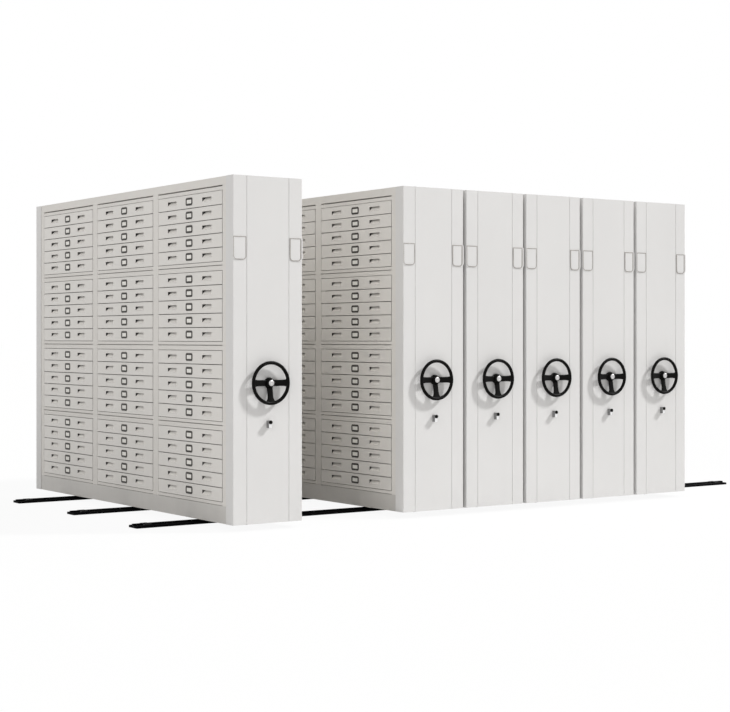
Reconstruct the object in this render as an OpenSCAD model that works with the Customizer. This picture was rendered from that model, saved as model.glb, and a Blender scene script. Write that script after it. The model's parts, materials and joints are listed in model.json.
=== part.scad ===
// Compact mobile shelving: a row of six drawer carriages that roll on three floor tracks.
// Axes: +X runs along the tracks, to the right as seen from the handwheels, -Y is the handwheel side, +Z up.
// Origin: on the floor, under the middle of the row. All sizes are in millimetres.

/* [Row] */
// Width of a carriage, along the tracks
carriage_w = 550; // [500:10:640]
// Gap between carriages that are closed up
closed_gap = 32; // [24:1:60]
// Width of the open aisle behind the first carriage
aisle_w = 867; // [700:1:1000]
// Length of track left free before the first carriage
left_free = 435; // [400:5:600]
// Length of track left free after the last carriage
right_free = 1105; // [1050:5:1400]
// Height of the panels and skirts above the floor
floor_gap = 45; // [34:1:60]

/* [Drawer units] */
// Width of a drawer unit between its posts
unit_w = 936; // [700:2:1000]
// Height from one drawer to the next
drawer_pitch = 97; // [86:1:120]
// Height of the rail below the drawers of a unit
bottom_rail_h = 26; // [16:1:40]
// Height of the rail above the drawers of a unit
top_rail_h = 35; // [25:1:50]
// Height of the open gap between the top units' rails and the cover
cover_gap = 9; // [4:0.5:14]
// Height of the cover's band above the units
band_h = 57; // [40:1:90]
// Thickness of a drawer front
front_t = 10; // [9:1:20]
// Gap round a drawer front
front_gap = 5; // [3:0.5:6]
// Depth of a drawer tray behind its front
tray_len = 480; // [380:5:484]
// Height of a drawer tray
tray_h = 72; // [40:1:74]
// Sheet thickness of trays, units and covers
sheet_t = 1.5; // [1:0.1:2]

/* [Drawer furniture] */
// Width of a label holder
label_w = 96; // [60:1:130]
// Height of a label holder
label_h = 55; // [30:1:66]
// Width of a finger pull
pull_w = 130; // [80:1:160]
// Height of a finger pull
pull_h = 31; // [20:1:40]
// Distance of a finger pull from the middle of its drawer
pull_off = 252; // [180:1:280]
// Depth at the top of a finger pull, which opens into the tray behind the front
pull_depth = 44; // [20:1:45]

/* [Frame] */
// Width of a post between two bays
post_w = 80; // [60:2:120]
// Width of the posts beside the end housings
end_post_w = 55; // [40:1:80]
// Depth of a post
post_depth = 40; // [25:1:60]
// Wall thickness of posts and end panels
post_t = 2; // [1:0.5:3]
// Thickness of a tie between the posts of an upright
tie_t = 20; // [10:1:30]

/* [End housings] */
// Depth of an end housing
housing_d = 95; // [90:1:130]
// Width of a side strip of an end panel
strip_w = 107; // [80:1:125]
// Width of the groove between two panels
groove_w = 4; // [2:0.5:6]
// Thickness of a centre panel
centre_t = 3; // [2:0.5:5]
// Radius of an end housing's upright corners
corner_r = 4; // [3:0.5:8]
// Height of an edge grip
grip_h = 157; // [80:1:220]
// Height of an edge grip's top above the floor
grip_top_z = 1992; // [1500:1:2100]
// Amount that an edge grip stands proud of its panel
grip_t = 4; // [3:0.5:8]
// Width of an edge grip's raised rim
grip_rim = 7; // [5:0.5:14]
// Radius of an edge grip's lower corners
grip_r = 26; // [15:1:40]
// Distance of an edge grip from the groove beside it
grip_side = 4; // [1:0.5:10]

/* [Handwheel and lock] */
// Outer diameter of the handwheel
handwheel_d = 300; // [240:5:320]
// Diameter of the handwheel's rim
rim_d = 24; // [18:1:30]
// Height of the handwheel above the floor
handwheel_z = 1000; // [900:5:1200]
// Distance of the rim from the panel, to its middle
rim_off = 38; // [36:1:42]
// Distance of the handwheel's cap from the panel
cap_off = 50; // [48:1:70]
// Width of a spoke
spoke_w = 42; // [24:1:50]
// Thickness of a spoke
spoke_t = 13; // [8:1:14]
// Amount that the spokes' roots lie nearer to the panel than the rim
dish = 22; // [6:1:22]
// Radius of the hub, at the panel
hub_r = 38; // [30:1:45]
// Radius of the bright cap
cap_r = 21; // [14:1:26]
// Distance of the lock below the handwheel
lock_drop = 267; // [220:1:340]
// Width of the lock's case
lock_w = 22; // [21:1:30]
// Height of the lock's case
lock_h = 50; // [36:1:60]
// Distance of the lock knob's face from the panel
knob_off = 40; // [32:1:44]
// Radius of the lock knob
knob_r = 13; // [10:0.5:16]

/* [Drive] */
// Radius of the handwheel's shaft
shaft_r = 10; // [8:0.5:14]
// Radius of an axle
axle_r = 12.5; // [10:0.5:15]
// Distance of an axle from the side of its carriage
axle_inset = 130; // [122:1:170]
// Rolling radius of a track wheel
wheel_r = 52; // [46:1:60]
// Depth of a track wheel's flanges
flange_h = 9; // [5:0.5:9]
// Thickness of a track wheel's flanges
flange_t = 7; // [4:0.5:10]
// Pitch of the drive chain
chain_pitch = 12.7; // [9.525:3.175:12.7]
// Teeth on the handwheel's sprocket
top_teeth = 12; // [11:1:14]
// Teeth on the axle's sprocket
axle_teeth = 18; // [15:1:20]

/* [Tracks] */
// Width of a track
track_w = 120; // [100:2:150]
// Height of a track's flat base
track_base_h = 17; // [10:0.5:18]
// Height of a track with its running bar
track_h = 28; // [27:0.5:31]
// Width of the running bar
bar_w = 32; // [24:1:40]
// Radius of an anchor hole
anchor_r = 5.5; // [3:0.5:7]
// Distance of an anchor hole from the track's middle line
anchor_off = 42; // [32:1:44]
// Distance of the outer anchor holes from a track's ends
anchor_end = 240; // [150:5:300]
// Distance of an end stop from the end of its track
stop_inset = 65; // [10:1:70]

/* [Hidden] */
PER_CARRIAGE = ["undercarriage", "drive_axle", "idle_wheels", "cabinet", "end_panels",
                "handwheel", "lock", "drawers", "label_holders"];
CARRIAGES = 6;
SLIDING = 4;

// Clearances: between seated pieces, in a bearing, round a pressed piece, and under and beside a wheel
seat = 0.3;
bearing_gap = 0.05;
press_gap = 0.1;
roll_gap = 0.3;
side_gap = 2;

// Overlap of shapes that are joined, and length that a cut runs past what it cuts
eps = 0.01;
over = 1;

// Counts
bays = 3;
tiers = 4;
unit_drawers = 5;
stations = 6;
ties = 3;

// Along the row
row_len = left_free + carriage_w + aisle_w + (CARRIAGES - 1) * carriage_w
          + (CARRIAGES - 2) * closed_gap + right_free;
first_x = left_free - row_len / 2;
function carriage_x(i) = i == 1 ? first_x
    : first_x + carriage_w + aisle_w + (i - 2) * (carriage_w + closed_gap);

// Across the row
body_len = 2 * (housing_d + end_post_w) + bays * unit_w + (bays - 1) * post_w;
face_y = (cap_off - body_len) / 2;
bay_pitch = unit_w + post_w;
function bay_y(b) = housing_d + end_post_w + b * bay_pitch;
function bay_mid(b) = bay_y(b) + unit_w / 2;

// An edge grip's thickness round the panel's corner, and the width of its lip there
grip_wrap = 3;
grip_lip = 14;

// Inset of the cabinet's faces from the end housings' sides
frame_in = 5;
rail_in = 6;
front_in = 4;
unit_in = 28;

// Heights
member_t = 5;
wheel_headroom = 15.9;
axle_z = track_h + roll_gap + wheel_r;
flange_r = wheel_r + flange_h;
frame_top = axle_z + flange_r + wheel_headroom + member_t;
deck_z = frame_top + seat + sheet_t;
unit_h = bottom_rail_h + unit_drawers * drawer_pitch + top_rail_h;
units_top = deck_z + tiers * unit_h;
top_z = units_top + band_h;
panel_h = top_z - floor_gap;
lock_z = handwheel_z - lock_drop;
function slot_z(tier, k) = deck_z + tier * unit_h + bottom_rail_h + k * drawer_pitch;

// Wheels and undercarriage
tread_w = bar_w + 2 * side_gap;
bracket_in = tread_w / 2 + flange_t + 3;
drive_x = axle_inset;
idle_x = carriage_w - axle_inset;
side_rail_x = 14;
side_rail_w = 30;
side_rail_t = 4;
member_bottom = axle_z - axle_r - 10;
bush_r = axle_r + 5.5;
bush_collar = 3;
end_member_y = housing_d + 6;
end_member_w = 30;
axle_end = 14;
buffer_r = 14;
buffer_taper = 3;
buffer_z = (floor_gap + deck_z) / 2;

// Handwheel: thickness of its cap, and distance of the shaft's end from the panel
cap_t = 5;
shaft_off = cap_off - 15;

// Chain drive
sprocket_y = 44;
sprocket_hub_t = 5;
sprocket_t = 7;
link_gap = 0.8;
link_t = 1.5;
link_h = 11;
top_pitch_r = chain_pitch / (2 * sin(180 / top_teeth));
axle_pitch_r = chain_pitch / (2 * sin(180 / axle_teeth));
roller_r = chain_pitch * 0.31;
top_centre = [carriage_w / 2, handwheel_z];
axle_centre = [drive_x, axle_z];
drive_plate_in = 24;
drive_plate_t = 3;
drive_plate_y = housing_d - seat - drive_plate_t;
boss_len = 20;
boss_t = 14;
ring_t = 8;

// Lock
spindle_r = 8;
knob_t = 8;
thumb_t = 5;
thumb_rise = 4;
cam_r = 15;
cam_y = 18;
cam_t = 6;
cam_len = 34;
barrel_r = 10;
barrel_len = 12;
case_edge = 2;

// Drawers
front_w = unit_w - 2 * front_gap;
front_h = drawer_pitch - front_gap;
tray_w = front_w - 36;
tray_lift = 9;
ledge_w = 26;
ledge_t = 6;
ledge_in = unit_in + 2;
runner_w = 16;
rail_t = 24;
rail_edge = 1;
rail_groove = 2.5;
unit_back = carriage_w - 10;
label_t = 3.5;

// Shapes shared by several sub-parts

// A bar along X whose cross-section is drawn in the YZ plane
module along_x(x0, x1) {
    translate([x0, 0, 0]) rotate([90, 0, 90]) linear_extrude(height = x1 - x0) children();
}

// A bar along Y whose cross-section is drawn in the XZ plane
module along_y(y0, y1) {
    translate([0, y1, 0]) rotate([90, 0, 0]) linear_extrude(height = y1 - y0) children();
}

// A round bar along Y, centred on x and z
module rod_y(x, z, y0, y1, r) {
    translate([x, y1, z]) rotate([90, 0, 0]) cylinder(r = r, h = y1 - y0, $fn = 48);
}

module box(from, to) {
    translate(from) cube(to - from);
}

// An outline round two circles, with straight sides that touch both
module two_circles(a, ra, b, rb) {
    span = norm(b - a);
    heading = atan2(b[1] - a[1], b[0] - a[0]);
    lean = acos((ra - rb) / span);
    function at(c, r, angle) = c + r * [cos(angle), sin(angle)];
    translate(a) circle(r = ra, $fn = 64);
    translate(b) circle(r = rb, $fn = 64);
    polygon([at(a, ra, heading + lean), at(b, rb, heading + lean),
             at(b, rb, heading - lean), at(a, ra, heading - lean)]);
}

// A chain sprocket's outline, with round tooth gaps
module sprocket_outline(teeth, pitch_r, bore_r) {
    difference() {
        circle(r = pitch_r + 0.3 * chain_pitch, $fn = 96);
        for (k = [0 : teeth - 1]) rotate(360 * k / teeth) tooth_gap(pitch_r);
        circle(r = bore_r, $fn = 48);
    }
}

// The gap between two teeth: a round seat that opens outwards
module tooth_gap(pitch_r) {
    translate([pitch_r, 0]) circle(r = roller_r, $fn = 24);
    polygon([[pitch_r, -roller_r], [pitch_r + chain_pitch / 2, -roller_r * 1.35],
             [pitch_r + chain_pitch / 2, roller_r * 1.35], [pitch_r, roller_r]]);
}

// A sprocket on the Y axis, with a clamping hub behind its teeth
module sprocket(teeth, pitch_r, bore_r, hub_len) {
    rotate([90, 0, 0]) translate([0, 0, -sprocket_t]) {
        linear_extrude(height = sprocket_t) sprocket_outline(teeth, pitch_r, bore_r);
        difference() {
            translate([0, 0, -hub_len]) cylinder(r = bore_r + sprocket_hub_t, h = hub_len + eps, $fn = 48);
            translate([0, 0, -hub_len - over]) cylinder(r = bore_r, h = hub_len + 2 * over, $fn = 48);
        }
    }
}

// Places a carriage's own parts: x from its left side, y from its front panel, z from the floor
module in_carriage(i) {
    translate([carriage_x(i), face_y, 0]) children();
}

// Tracks on the floor

// A flat base with sloped edges and a raised bar that the wheels run on
module track_section() {
    half = track_w / 2;
    bar = bar_w / 2;
    edge = 3;
    bar_edge = 1.5;
    polygon([[-half, 0], [half, 0], [half, track_base_h - edge], [half - edge, track_base_h],
             [bar, track_base_h], [bar, track_h - bar_edge], [bar - bar_edge, track_h],
             [bar_edge - bar, track_h], [-bar, track_h - bar_edge], [-bar, track_base_h],
             [edge - half, track_base_h], [-half, track_base_h - edge]]);
}

// An anchor hole, countersunk from above
module anchor_hole() {
    sink = 3 + eps;
    translate([0, 0, -over]) cylinder(r = anchor_r, h = track_base_h + 2 * over, $fn = 32);
    translate([0, 0, track_base_h + eps - sink])
        cylinder(r1 = anchor_r, r2 = anchor_r + sink, h = sink, $fn = 32);
}

// Three tracks, each in two lengths that meet in the middle of the row
module tracks() {
    step = (row_len - 2 * anchor_end) / (stations - 1);
    color("#141414") for (b = [0 : bays - 1]) translate([-row_len / 2, face_y + bay_mid(b), 0])
        for (half = [0, 1]) difference() {
            along_x(half * (row_len + seat) / 2, (row_len - seat) / 2 + half * (row_len + seat) / 2)
                track_section();
            for (k = [half * stations / 2 : stations / 2 * (1 + half) - 1], side = [-1, 1])
                translate([anchor_end + k * step, side * anchor_off, 0]) anchor_hole();
        }
}

// A low block beside the running bar, in the way of a wheel's flange
module end_stop() {
    width = 22;
    length = 60;
    height = track_h - track_base_h - seat - 1;
    ramp = 8;
    toe = 2;
    bolt_r = 4;
    translate([0, bar_w / 2 + side_gap, track_base_h + seat]) difference() {
        along_y(0, width) polygon([[0, 0], [length, 0], [length, height], [ramp, height], [0, toe]]);
        translate([length / 2, width / 2, -over]) cylinder(r = bolt_r, h = height + 2 * over, $fn = 32);
    }
}

module end_stops() {
    color("#2a2a2a") for (b = [0 : bays - 1], end = [0, 1], side = [0, 1])
        translate([0, face_y + bay_mid(b), 0]) mirror([end, 0, 0]) mirror([0, side, 0])
            translate([stop_inset - row_len / 2, 0, 0]) end_stop();
}

// Undercarriage: welded frame, base tray with skirts, bushes, buffers and the drive chain

// A channel along one side of the carriage, open towards the middle
module side_rail(x0) {
    box([x0, end_member_y, member_bottom], [x0 + side_rail_t, body_len - end_member_y, frame_top]);
    for (z = [member_bottom, frame_top - side_rail_t])
        box([x0, end_member_y, z], [x0 + side_rail_w, body_len - end_member_y, z + side_rail_t]);
}

// A channel across the carriage that straddles the wheels of one track
module wheel_member_section() {
    half = bracket_in + member_t;
    difference() {
        translate([-half, member_bottom]) square([2 * half, frame_top - member_bottom]);
        translate([-bracket_in, member_bottom - over])
            square([2 * bracket_in, frame_top - member_t - member_bottom + over]);
    }
}

module welded_frame() {
    inner = side_rail_x + side_rail_t;
    reach = bracket_in + member_t + over;
    difference() {
        union() {
            side_rail(side_rail_x);
            translate([carriage_w, 0, 0]) mirror([1, 0, 0]) side_rail(side_rail_x);
            for (b = [0 : bays - 1]) translate([0, bay_mid(b), 0])
                along_x(inner - eps, carriage_w - inner + eps) wheel_member_section();
            for (y = [end_member_y, body_len - end_member_y - end_member_w])
                box([inner - eps, y, member_bottom], [carriage_w - inner + eps, y + member_t, frame_top]);
        }
        for (b = [0 : bays - 1], x = [drive_x, idle_x])
            rod_y(x, axle_z, bay_mid(b) - reach, bay_mid(b) + reach, bush_r + press_gap);
        rod_y(drive_x, axle_z, end_member_y - over, end_member_y + member_t + over, bush_r + press_gap);
    }
}

// A flanged bush; its collar lies on the outer side of the plate that holds it
module bush() {
    rotate([90, 0, 0]) difference() {
        union() {
            translate([0, 0, -member_t]) cylinder(r = bush_r, h = member_t + seat + eps, $fn = 48);
            translate([0, 0, seat]) cylinder(r = bush_r + 5, h = bush_collar, $fn = 48);
        }
        translate([0, 0, -member_t - over])
            cylinder(r = axle_r + bearing_gap, h = member_t + seat + bush_collar + 2 * over, $fn = 48);
    }
}

module bushes() {
    for (b = [0 : bays - 1], x = [drive_x, idle_x], side = [0, 1])
        translate([x, bay_mid(b), axle_z]) mirror([0, side, 0])
            translate([0, -bracket_in - member_t, 0]) bush();
    translate([drive_x, end_member_y, axle_z]) bush();
}

// The deck under the drawer units, folded down into a skirt on each side
module base_tray() {
    width = carriage_w - 2 * frame_in;
    along_y(housing_d + seat, body_len - housing_d - seat) translate([frame_in, 0]) difference() {
        translate([0, floor_gap]) square([width, deck_z - floor_gap]);
        translate([sheet_t, floor_gap - over])
            square([width - 2 * sheet_t, deck_z - sheet_t - floor_gap + over]);
    }
}

// Rubber buffers that hold the closing gap to the next carriage
module buffers() {
    reach = closed_gap + 2 * frame_in - seat;
    for (y = [housing_d + end_post_w, body_len - housing_d - end_post_w])
        translate([carriage_w - frame_in + seat, y, buffer_z]) rotate([0, 90, 0])
            cylinder(r1 = buffer_r, r2 = buffer_r - buffer_taper, h = reach - seat, $fn = 32);
}

// The chain's line round both sprockets, moved inwards by inset
module chain_loop(inset) {
    two_circles(top_centre, top_pitch_r - inset, axle_centre, axle_pitch_r - inset);
}

// The chain's two rows of links, joined along its straight runs where no teeth pass
module chain() {
    front = sprocket_y - link_gap - link_t;
    back = sprocket_y + sprocket_t + link_gap;
    run = top_centre - axle_centre;
    clear = 2 * axle_pitch_r;
    for (y = [front, back]) along_y(y, y + link_t) difference() {
        chain_loop(-link_h / 2);
        chain_loop(link_h / 2);
    }
    along_y(front + link_t - eps, back + eps) intersection() {
        difference() {
            chain_loop(-roller_r);
            chain_loop(roller_r);
        }
        translate(axle_centre) rotate(atan2(run[1], run[0]))
            translate([clear, -clear]) square([norm(run) - 2 * clear, 2 * clear]);
    }
}

module undercarriage(i) {
    in_carriage(i) {
        color("#55585a") welded_frame();
        color("#d8d7d3") base_tray();
        color("#a58a52") bushes();
        color("#1c1c1c") buffers();
        color("#6a6a6a") chain();
    }
}

// Wheels and axles

// A grooved track wheel, turned round its bore, centred on the origin, axis along Y
module track_wheel() {
    half = tread_w / 2;
    outer = half + flange_t;
    bore = axle_r + press_gap;
    rotate([90, 0, 0]) rotate_extrude($fn = 64) polygon([
        [bore, -outer], [flange_r - 1.5, -outer], [flange_r, -outer + 2], [flange_r, -half - 2.5],
        [flange_r - 2, -half - 1], [wheel_r, -half], [wheel_r, half], [flange_r - 2, half + 1],
        [flange_r, half + 2.5], [flange_r, outer - 2], [flange_r - 1.5, outer], [bore, outer]]);
}

module drive_axle(i) {
    hub_len = 14;
    far_end = bay_mid(bays - 1) + bracket_in + member_t + axle_end;
    in_carriage(i) {
        color("#9a9c9e") rod_y(drive_x, axle_z, sprocket_y - axle_end, far_end, axle_r);
        color("#77797b") for (b = [0 : bays - 1]) translate([drive_x, bay_mid(b), axle_z]) track_wheel();
        color("#5f6163") translate([drive_x, sprocket_y, axle_z])
            sprocket(axle_teeth, axle_pitch_r, axle_r + press_gap, hub_len);
    }
}

module idle_wheels(i) {
    reach = bracket_in + member_t + axle_end;
    in_carriage(i) for (b = [0 : bays - 1]) translate([idle_x, bay_mid(b), axle_z]) {
        color("#77797b") track_wheel();
        color("#9a9c9e") rod_y(0, 0, -reach, reach, axle_r);
    }
}

// Cabinet: uprights, drawer units, back panels and top cover

module post(x0, width) {
    difference() {
        box([x0, 0, deck_z + seat], [x0 + post_depth, width, units_top]);
        box([x0 + post_t, post_t, deck_z], [x0 + post_depth - post_t, width - post_t, units_top + over]);
    }
}

// Two posts joined by ties, one behind the left face and one behind the right
module upright(y0, width) {
    back_x = carriage_w - frame_in - sheet_t - seat - post_depth;
    translate([0, y0, 0]) {
        post(frame_in, width);
        post(back_x, width);
        for (t = [0 : ties - 1]) {
            z = deck_z + seat + t * (units_top - tie_t - deck_z - seat) / (ties - 1);
            box([frame_in + post_depth - eps, (width - tie_t) / 2, z],
                [back_x + eps, (width + tie_t) / 2, z + tie_t]);
        }
    }
}

module uprights() {
    end_w = end_post_w - 2 * seat;
    upright(housing_d + seat, end_w);
    for (b = [1 : bays - 1]) upright(bay_y(b) - post_w + seat, post_w - 2 * seat);
    upright(body_len - housing_d - seat - end_w, end_w);
}

// Ledges for each side of each drawer, in the units whose drawer slides
module ledges(half) {
    for (k = [0 : unit_drawers - 1], side = [0, 1]) {
        top = bottom_rail_h + k * drawer_pitch + tray_lift - seat;
        mirror([0, side, 0])
            box([ledge_in, half - ledge_w, top - ledge_t], [unit_back - runner_w, half + eps, top]);
    }
}

// One upright runner a side that all the drawers of a unit lie against
module runners(half) {
    low = sheet_t + seat - eps;
    for (side = [0, 1]) mirror([0, side, 0])
        box([ledge_in, tray_w / 2 + seat, low], [ledge_in + runner_w, half + eps, unit_h - low + seat]);
}

// One drawer unit: a case with two rails before its open front; a top unit's upper rail is less high
module drawer_unit(ledged, top) {
    half = unit_w / 2 - seat;
    inner = half - sheet_t;
    groove = top ? cover_gap : rail_groove;
    difference() {
        box([unit_in, -half, seat], [unit_back, half, unit_h]);
        box([unit_in - over, -inner, sheet_t + seat], [unit_back - sheet_t, inner, unit_h - sheet_t]);
    }
    box([rail_in, -half, seat + rail_groove], [rail_in + rail_t, half, bottom_rail_h - rail_edge]);
    box([rail_in, -half, unit_h - top_rail_h + rail_edge], [rail_in + rail_t, half, unit_h - groove]);
    if (ledged) ledges(inner);
    else runners(inner);
}

module back_panels() {
    x = carriage_w - frame_in - sheet_t;
    for (b = [0 : bays - 1]) {
        y0 = b == 0 ? housing_d + seat : bay_y(b) - post_w / 2 + seat;
        y1 = b == bays - 1 ? body_len - housing_d - seat : bay_y(b) + unit_w + post_w / 2 - seat;
        box([x, y0, deck_z + seat], [x + sheet_t, y1, units_top - seat]);
    }
}

// The cover over the units, folded down and in along both sides
module top_cover() {
    width = carriage_w - 2 * frame_in;
    height = band_h - seat;
    along_y(housing_d + seat, body_len - housing_d - seat) translate([frame_in, units_top + seat])
        difference() {
            square([width, height]);
            translate([sheet_t, sheet_t]) square([width - 2 * sheet_t, height - 2 * sheet_t]);
            translate([post_depth, -over]) square([width - 2 * post_depth, sheet_t + 2 * over]);
        }
}

module cabinet(i) {
    in_carriage(i) {
        color("#cfcdc8") uprights();
        color("#cfcdc8") for (b = [0 : bays - 1], tier = [0 : tiers - 1])
            translate([0, bay_mid(b), deck_z + tier * unit_h])
                drawer_unit(slides(i, b, unit_drawers - 1), tier == tiers - 1);
        color("#d8d7d3") back_panels();
        color("#e0dfdc") top_cover();
    }
}

// End panels

// A side strip: face, rounded corner and side wall, with a step that carries the centre panel
module strip_section() {
    wall = sheet_t;
    step_y = centre_t + seat;
    step_w = groove_w + 16;
    lip_w = 20;
    face_w = strip_w - groove_w / 2;
    difference() {
        union() {
            translate([corner_r, corner_r]) circle(r = corner_r, $fn = 32);
            translate([corner_r, 0]) square([face_w - corner_r, wall]);
            translate([0, corner_r]) square([wall, housing_d - seat - corner_r]);
            translate([wall, wall]) square([corner_r, corner_r]);
        }
        translate([wall + corner_r, wall + corner_r]) circle(r = corner_r, $fn = 32);
        translate([wall + corner_r, wall]) square([corner_r, corner_r + wall]);
        translate([wall, wall + corner_r]) square([corner_r, corner_r]);
    }
    translate([face_w - wall, 0]) square([wall, step_y + wall]);
    translate([face_w - wall, step_y]) square([step_w, wall]);
    translate([0, housing_d - seat - wall]) square([lip_w, wall]);
}

module strip() {
    translate([0, 0, floor_gap]) linear_extrude(height = panel_h) strip_section();
}

module centre_panel() {
    x0 = strip_w + groove_w / 2;
    width = carriage_w - 2 * x0;
    edge_r = 1;
    translate([x0, 0, floor_gap]) linear_extrude(height = panel_h) {
        translate([edge_r, 0]) square([width - 2 * edge_r, centre_t]);
        translate([0, edge_r]) square([width, centre_t - edge_r]);
        for (x = [edge_r, width - edge_r]) translate([x, edge_r]) circle(r = edge_r, $fn = 16);
    }
}

module housing_cap() {
    margin = sheet_t + corner_r + seat;
    box([margin, margin, top_z - sheet_t], [carriage_w - margin, housing_d - 2 * seat - sheet_t, top_z]);
}

// An edge grip's outline, square above and rounded below, made smaller all round by inset
module grip_outline(inset) {
    left = inset - grip_wrap;
    width = strip_w - groove_w / 2 - grip_side + grip_wrap - 2 * inset;
    low = inset - grip_h;
    radius = grip_r - inset;
    translate([left, low + radius]) square([width, -inset - low - radius]);
    translate([left + radius, low]) square([width - 2 * radius, radius + eps]);
    for (x = [left + radius, left + width - radius])
        translate([x, low + radius]) circle(r = radius, $fn = 48);
}

// An edge grip: a raised rim round a sunk pad, lipped over the panel's corner
module edge_grip() {
    translate([0, 0, grip_top_z]) {
        difference() {
            along_y(-grip_t - seat, -seat) grip_outline(0);
            along_y(-grip_t - seat - over, -seat - grip_t / 2) grip_outline(grip_rim);
        }
        box([-grip_wrap, -seat - eps, grip_r - grip_h], [-seat, grip_lip, 0]);
    }
}

// The plate behind the front panel that carries the handwheel's rear bearing
module drive_plate() {
    mid = carriage_w / 2;
    below = 8;
    above = 90;
    difference() {
        union() {
            box([drive_plate_in, drive_plate_y, deck_z + below],
                [carriage_w - drive_plate_in, drive_plate_y + drive_plate_t, handwheel_z + above]);
            rod_y(mid, handwheel_z, drive_plate_y - boss_len, drive_plate_y + eps, shaft_r + boss_t);
        }
        rod_y(mid, handwheel_z, drive_plate_y - boss_len - over, housing_d + over, shaft_r + bearing_gap);
    }
}

// The bearing ring that guides the handwheel's shaft through the front panel
module shaft_ring() {
    bore = shaft_r + bearing_gap;
    outer = shaft_r + ring_t;
    translate([carriage_w / 2, 0, handwheel_z]) rotate([90, 0, 0]) rotate_extrude($fn = 64) polygon([
        [bore, -14], [outer, -14], [outer, seat], [hub_r - 4, seat], [hub_r - 5, 5], [bore, 6]]);
}

// The lock's upright case, with the barrel through the panel that its spindle turns in
module lock_case() {
    front = knob_off - knob_t - 1;
    half = lock_w / 2;
    translate([carriage_w / 2, 0, lock_z]) difference() {
        union() {
            along_y(-front, -seat) polygon([
                [-half, case_edge + half - lock_h], [-half, half - case_edge], [case_edge - half, half],
                [half - case_edge, half], [half, half - case_edge], [half, case_edge + half - lock_h],
                [half - case_edge, half - lock_h], [case_edge - half, half - lock_h]]);
            rod_y(0, 0, -front / 2, barrel_len, barrel_r);
        }
        rod_y(0, 0, -front - over, barrel_len + over, spindle_r + bearing_gap);
    }
}

// Places a part at the far end of the carriage too, turned to face outwards
module at_end(end) {
    translate([0, end * body_len, 0]) mirror([0, end, 0]) children();
}

// Places a part at the right side of the carriage too, mirrored
module at_side(side) {
    translate([side * carriage_w, 0, 0]) mirror([side, 0, 0]) children();
}

module end_panels(i) {
    in_carriage(i) {
        color("#e3e2df") for (side = [0, 1], end = [0, 1]) at_side(side) at_end(end) strip();
        color("#e3e2df") difference() {
            centre_panel();
            rod_y(carriage_w / 2, handwheel_z, -over, centre_t + over, shaft_r + ring_t + seat);
            rod_y(carriage_w / 2, lock_z, -over, centre_t + over, barrel_r + seat);
        }
        color("#e3e2df") at_end(1) centre_panel();
        color("#e3e2df") for (end = [0, 1]) at_end(end) housing_cap();
        color("#d4d4d2") for (side = [0, 1]) at_side(side) edge_grip();
        color("#8a8c8e") drive_plate();
        color("#2a2a2a") shaft_ring();
        color("#d9dadb") lock_case();
    }
}

// Handwheel with its shaft, sprocket and cap

// A flat spoke with bevelled edges, which leans outwards from the hub to the rim
module spoke(angle, reach) {
    edge = 4;
    half = spoke_w / 2;
    face = spoke_t / 2;
    lean = atan2(dish, reach);
    rotate([0, angle, 0]) translate([0, dish - rim_off, 0]) rotate([lean, 0, 0])
        linear_extrude(height = reach / cos(lean)) polygon([
            [-half, edge - face], [-half + edge, -face], [half - edge, -face], [half, edge - face],
            [half, face - edge], [half - edge, face], [-half + edge, face], [-half, face - edge]]);
}

// The black moulding: rim, three spokes and a tapered hub that is pressed on the shaft
module wheel_moulding() {
    rim_r = (handwheel_d - rim_d) / 2;
    nose = cap_off - cap_t;
    difference() {
        union() {
            translate([0, -rim_off, 0]) rotate([90, 0, 0]) rotate_extrude($fn = 96)
                translate([rim_r, 0]) circle(r = rim_d / 2, $fn = 32);
            for (angle = [-90, 90, 180]) spoke(angle, rim_r);
            rotate([90, 0, 0]) rotate_extrude($fn = 64) polygon([
                [0, 8], [hub_r - 3, 8], [hub_r, 11], [hub_r - 4, rim_off - spoke_t / 2],
                [cap_r + 7, nose - 4], [cap_r + 4, nose], [0, nose]]);
        }
        rod_y(0, 0, -shaft_off - seat, 0, shaft_r + press_gap);
    }
}

// The bright cap: a low dome on the hub's nose
module wheel_cap() {
    base = cap_off - cap_t + seat;
    rotate([90, 0, 0]) rotate_extrude($fn = 64) polygon([
        [0, base], [cap_r, base], [cap_r, base + 1.5], [cap_r - 2, cap_off - 1.2],
        [cap_r - 6, cap_off - 0.3], [0, cap_off]]);
}

module handwheel(i) {
    hub_len = drive_plate_y - boss_len - sprocket_y - sprocket_t - 2;
    in_carriage(i) translate([carriage_w / 2, 0, handwheel_z]) {
        color("#161616") wheel_moulding();
        color("#e6e6e6") wheel_cap();
        color("#9a9c9e") rod_y(0, 0, -shaft_off, drive_plate_y, shaft_r);
        color("#5f6163") translate([0, sprocket_y, 0])
            sprocket(top_teeth, top_pitch_r, shaft_r + press_gap, hub_len);
    }
}

// Lock: knob, spindle and the cam inside the panel

// A round knob with a thumb bar across its face
module lock_knob() {
    reach = knob_r - 1;
    rod_y(0, 0, -knob_off, knob_t - knob_off, knob_r);
    box([-thumb_t / 2, -knob_off - thumb_rise, -reach], [thumb_t / 2, eps - knob_off, reach]);
}

module lock(i) {
    in_carriage(i) translate([carriage_w / 2, 0, lock_z]) {
        color("#101010") lock_knob();
        color("#b8b9ba") rod_y(0, 0, knob_t - knob_off + seat, cam_y + 2 * cam_t, spindle_r);
        color("#7d7f81") along_y(cam_y, cam_y + cam_t) difference() {
            two_circles([0, 0], cam_r, [0, -cam_len], spindle_r);
            circle(r = spindle_r + press_gap, $fn = 48);
        }
    }
}

// Drawers and their furniture

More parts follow.
